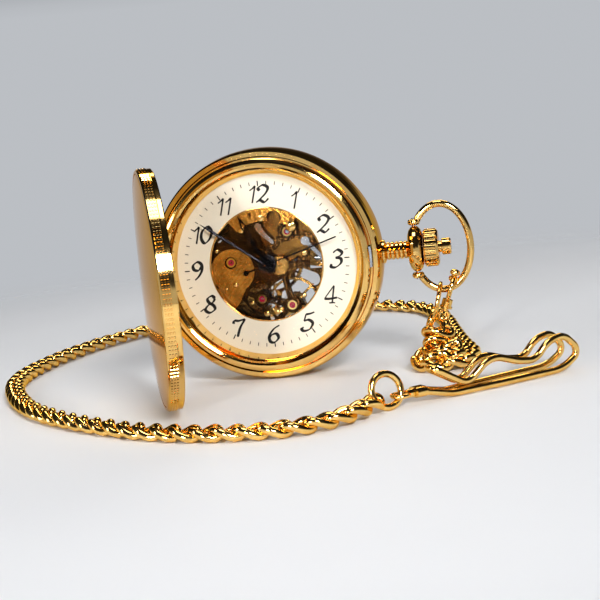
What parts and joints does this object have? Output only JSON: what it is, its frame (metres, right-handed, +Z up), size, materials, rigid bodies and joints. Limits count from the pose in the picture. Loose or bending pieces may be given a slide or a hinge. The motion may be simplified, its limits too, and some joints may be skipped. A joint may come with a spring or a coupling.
{
  "type": "pocket watch",
  "caption": "Mechanical pocket watch with a hinged full lid, skeleton dial and exposed movement, crown with lid button, oval bow, and a curb chain ending in a spring clip.",
  "frame": {"origin": "on the floor straight under the case axis, in the plane of the dial's front face", "axes": "+X from the case centre to the crown, +Y from the dial to the back, +Z up; the dial faces -Y"},
  "size_m": [0.128, 0.1402, 0.0492],
  "materials": {
    "gold_case": "polished gold plate",
    "gold_chain": "polished gold plate",
    "gold_movement": "brushed gilt",
    "steel": "polished steel",
    "hand_steel": "black enamel",
    "ruby": "polished ruby",
    "crystal": "clear mineral glass",
    "dial_cream": "satin enamel",
    "gilt_rehaut": "turned gilt"
  },
  "bodies": {
    "case": {"case_middle": "gold_case", "front_bezel": "gold_case", "back_bezel": "gold_case", "rehaut_ring": "gilt_rehaut", "front_crystal": "crystal", "back_crystal": "crystal", "movement_ring": "gilt_rehaut", "hinge_pin": "steel", "pendant": "gold_case", "bow_pins": "steel", "dial": "dial_cream", "main_plate": "gold_movement", "dial_side_plates": "gold_movement", "barrel_bridge": "gold_movement", "train_bridge": "gold_movement", "balance_cock": "gold_movement", "pallet_bridge": "gold_movement", "movement_screws": "steel", "jewels": "ruby", "jewel_chatons": "gold_movement", "flat_springs": "steel", "chain": "gold_chain", "end_ring": "gold_chain", "clip_swivel": "gold_chain"},
    "lid": {"lid_shell": "gold_case", "lid_band": "gold_case"},
    "lid_catch": {"lid_catch": "steel"},
    "bow": {"bow": "gold_case", "clasp_hook": "gold_chain"},
    "clasp_lever": {"clasp_lever": "gold_chain"},
    "clasp_eye": {"clasp_eye": "gold_chain"},
    "bow_ring": {"bow_ring": "gold_chain"},
    "stem_sleeve": {"stem_sleeve": "steel"},
    "crown": {"crown": "gold_case", "winding_stem": "steel"},
    "push_button": {"push_button": "gold_case"},
    "winding_pinion": {"winding_pinion": "steel"},
    "sliding_clutch": {"sliding_clutch": "steel"},
    "setting_lever": {"setting_lever": "steel"},
    "clutch_yoke": {"clutch_yoke": "steel"},
    "crown_wheel": {"crown_wheel": "steel"},
    "ratchet": {"ratchet_wheel": "steel", "barrel_arbor": "steel"},
    "click": {"click": "steel"},
    "barrel": {"mainspring_barrel": "gold_movement", "mainspring": "steel"},
    "centre": {"centre_wheel": "gold_movement", "cannon_pinion": "steel", "minute_hand": "hand_steel"},
    "third": {"third_wheel": "gold_movement"},
    "fourth": {"fourth_wheel": "gold_movement", "seconds_hand": "hand_steel"},
    "escape": {"escape_wheel": "steel"},
    "pallet_fork": {"pallet_fork": "steel"},
    "balance": {"balance_wheel": "gold_movement", "hairspring": "steel"},
    "minute_work": {"minute_wheel": "gold_movement"},
    "hour_work": {"hour_wheel": "gold_movement", "hour_hand": "hand_steel"},
    "spring_clip": {"spring_clip": "gold_chain"}
  },
  "joints": [
    {"name": "lid_hinge", "type": "hinge", "parent": "case", "child": "lid", "pos_m": [-0.02475, -0.00275, 0.0246], "axis": [0, 0, 1], "range_deg": [-15, 70]},
    {"name": "bow_swing", "type": "hinge", "parent": "case", "child": "bow", "pos_m": [0.0315, 0.0048, 0.0246], "axis": [0, 0, 1], "range_deg": [-75, 75]},
    {"name": "clasp_lever_pivot", "type": "hinge", "parent": "bow", "child": "clasp_lever", "pos_m": [0.03718, 0.00345, 0.01323], "axis": [-0.9379, 0, 0.347], "range_deg": [0, 12], "stiffness_Nm_per_rad": 0.002, "springref_deg": -5.73},
    {"name": "clasp_swivel", "type": "hinge", "parent": "bow", "child": "clasp_eye", "pos_m": [0.0381, 0.0048, 0.0157], "axis": [-0.347, 0, -0.9379], "continuous": true},
    {"name": "bow_ring_hang", "type": "hinge", "parent": "bow", "child": "bow_ring", "pos_m": [0.0359, 0.0048, 0.01548], "axis": [0.9908, 0, -0.135], "range_deg": [-15, 15]},
    {"name": "crown_pull", "type": "slide", "parent": "case", "child": "stem_sleeve", "axis": [1, 0, 0], "range_m": [0, 0.001]},
    {"name": "crown_turn", "type": "hinge", "parent": "stem_sleeve", "child": "crown", "pos_m": [0.034, 0.0048, 0.0246], "axis": [1, 0, 0], "continuous": true},
    {"name": "button_press", "type": "slide", "parent": "crown", "child": "push_button", "axis": [-1, 0, 0], "range_m": [0, 0.00055], "stiffness_N_per_m": 2000},
    {"name": "lid_catch_slide", "type": "slide", "parent": "case", "child": "lid_catch", "axis": [-1, 0, 0], "range_m": [0, 0.00026]},
    {"name": "winding_pinion_turn", "type": "hinge", "parent": "case", "child": "winding_pinion", "pos_m": [0.014, 0.0048, 0.0246], "axis": [1, 0, 0], "continuous": true},
    {"name": "clutch_slide", "type": "slide", "parent": "winding_pinion", "child": "sliding_clutch", "axis": [1, 0, 0], "range_m": [-0.00085, 0]},
    {"name": "setting_lever_turn", "type": "hinge", "parent": "case", "child": "setting_lever", "pos_m": [0.0132, 0.0048, 0.0292], "axis": [0, 1, 0], "range_deg": [-12, 0]},
    {"name": "clutch_yoke_turn", "type": "hinge", "parent": "case", "child": "clutch_yoke", "pos_m": [0.0086, 0.0048, 0.0288], "axis": [0, 1, 0], "range_deg": [0, 13]},
    {"name": "crown_wheel_turn", "type": "hinge", "parent": "case", "child": "crown_wheel", "pos_m": [0.0113, 0.0048, 0.0265], "axis": [0, 1, 0], "continuous": true},
    {"name": "ratchet_turn", "type": "hinge", "parent": "case", "child": "ratchet", "pos_m": [0.0049, 0.0048, 0.03105], "axis": [0, 1, 0], "continuous": true},
    {"name": "click_swing", "type": "hinge", "parent": "case", "child": "click", "pos_m": [0.0006, 0.0048, 0.0368], "axis": [0, 1, 0], "range_deg": [0, 8], "stiffness_Nm_per_rad": 0.0005},
    {"name": "seconds_turn", "type": "hinge", "parent": "case", "child": "fourth", "pos_m": [0, 0.0048, 0.0246], "axis": [0, 1, 0], "continuous": true},
    {"name": "minute_turn", "type": "hinge", "parent": "case", "child": "centre", "pos_m": [0, 0.0048, 0.0246], "axis": [0, 1, 0], "continuous": true},
    {"name": "third_turn", "type": "hinge", "parent": "case", "child": "third", "pos_m": [-0.00785, 0.0048, 0.02546], "axis": [0, 1, 0], "continuous": true},
    {"name": "barrel_turn", "type": "hinge", "parent": "case", "child": "barrel", "pos_m": [0.0049, 0.0048, 0.03105], "axis": [0, 1, 0], "continuous": true},
    {"name": "escape_turn", "type": "hinge", "parent": "case", "child": "escape", "pos_m": [-0.002, 0.0048, 0.0171], "axis": [0, 1, 0], "continuous": true},
    {"name": "pallet_swing", "type": "hinge", "parent": "case", "child": "pallet_fork", "pos_m": [0.00098, 0.0048, 0.01626], "axis": [0, 1, 0], "range_deg": [-5, 5]},
    {"name": "balance_swing", "type": "hinge", "parent": "case", "child": "balance", "pos_m": [0.0044, 0.0048, 0.0153], "axis": [0, 1, 0], "range_deg": [-270, 270], "stiffness_Nm_per_rad": 0.0000012},
    {"name": "minute_wheel_turn", "type": "hinge", "parent": "case", "child": "minute_work", "pos_m": [0.00255, 0.0048, 0.02405], "axis": [0, 1, 0], "continuous": true},
    {"name": "hour_turn", "type": "hinge", "parent": "case", "child": "hour_work", "pos_m": [0, 0.0048, 0.0246], "axis": [0, 1, 0], "continuous": true},
    {"name": "clip_turn", "type": "hinge", "parent": "case", "child": "spring_clip", "pos_m": [0.0302, -0.0342, 0.0023], "axis": [0.7986, 0.6018, 0], "continuous": true}
  ],
  "couplings": [
    {"joint": "lid_catch_slide", "follows": "button_press", "ratio": 0.45},
    {"joint": "winding_pinion_turn", "follows": "crown_turn", "ratio": 1},
    {"joint": "clutch_slide", "follows": "crown_pull", "ratio": -0.8},
    {"joint": "setting_lever_turn", "follows": "crown_pull", "rad_per_m": -200},
    {"joint": "clutch_yoke_turn", "follows": "crown_pull", "rad_per_m": 221.7},
    {"joint": "crown_wheel_turn", "follows": "crown_turn", "ratio": -0.5},
    {"joint": "ratchet_turn", "follows": "crown_turn", "ratio": 0.38095},
    {"joint": "minute_turn", "follows": "seconds_turn", "ratio": 0.016667},
    {"joint": "third_turn", "follows": "seconds_turn", "ratio": -0.13333},
    {"joint": "barrel_turn", "follows": "seconds_turn", "ratio": -0.0025641},
    {"joint": "escape_turn", "follows": "seconds_turn", "ratio": -10},
    {"joint": "minute_wheel_turn", "follows": "seconds_turn", "ratio": -0.0055556},
    {"joint": "hour_turn", "follows": "seconds_turn", "ratio": 0.0013889}
  ]
}
